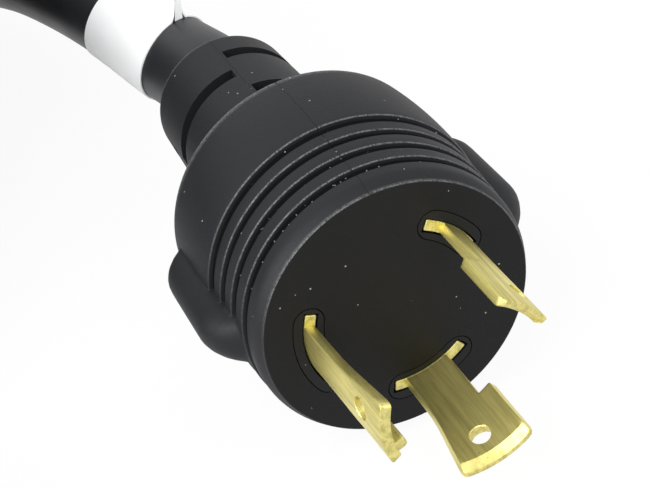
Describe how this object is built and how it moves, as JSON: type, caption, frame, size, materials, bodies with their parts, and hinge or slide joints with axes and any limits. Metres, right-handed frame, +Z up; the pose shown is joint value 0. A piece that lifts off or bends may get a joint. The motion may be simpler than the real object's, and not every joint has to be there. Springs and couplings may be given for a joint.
{
  "type": "shore power cord",
  "caption": "Heavy-duty shore power cord with a moulded locking plug, grip wings and slotted strain relief, its cord coiled beside it and ending in a moulded locking connector.",
  "frame": {"origin": "on the surface that the cord lies on, below the middle of the plug's own length from strain relief to blade tips", "axes": "+X along the plug's axis towards its blades, +Z up with the grip wings level, +Y to the side away from the coil"},
  "size_m": [0.3056, 0.311, 0.0698],
  "materials": {
    "rubber": "matt moulded black with fine grain",
    "carrier_nylon": "matt black",
    "brass": "bright stamped",
    "inner_mould": "matt black",
    "cord_jacket": "matt black",
    "filler": "twisted fibre",
    "label": "satin white",
    "copper": "bright strands",
    "insulation_black": "satin",
    "insulation_red": "satin",
    "insulation_green": "satin"
  },
  "bodies": {
    "root": {"plug_overmould": "rubber", "blade_carrier": "carrier_nylon", "blade_x": "brass", "blade_y": "brass", "blade_earth": "brass", "plug_inner_mould": "inner_mould", "plug_cord_jacket": "cord_jacket", "plug_cord_fillers": "filler", "cord_label": "label", "cord_run": "cord_jacket", "cord_coil": "cord_jacket", "cord_tail": "cord_jacket", "connector_overmould": "rubber", "connector_face_plate": "carrier_nylon", "contact_carrier": "carrier_nylon", "contact_x": "brass", "contact_y": "brass", "contact_earth": "brass", "connector_inner_mould": "inner_mould", "connector_cord_jacket": "cord_jacket", "connector_cord_fillers": "filler", "plug_conductor_x": "insulation_black", "plug_copper_x": "copper", "plug_conductor_y": "insulation_red", "plug_copper_y": "copper", "plug_conductor_earth": "insulation_green", "plug_copper_earth": "copper", "connector_conductor_x": "insulation_black", "connector_copper_x": "copper", "connector_conductor_y": "insulation_red", "connector_copper_y": "copper", "connector_conductor_earth": "insulation_green", "connector_copper_earth": "copper"}
  },
  "joints": []
}
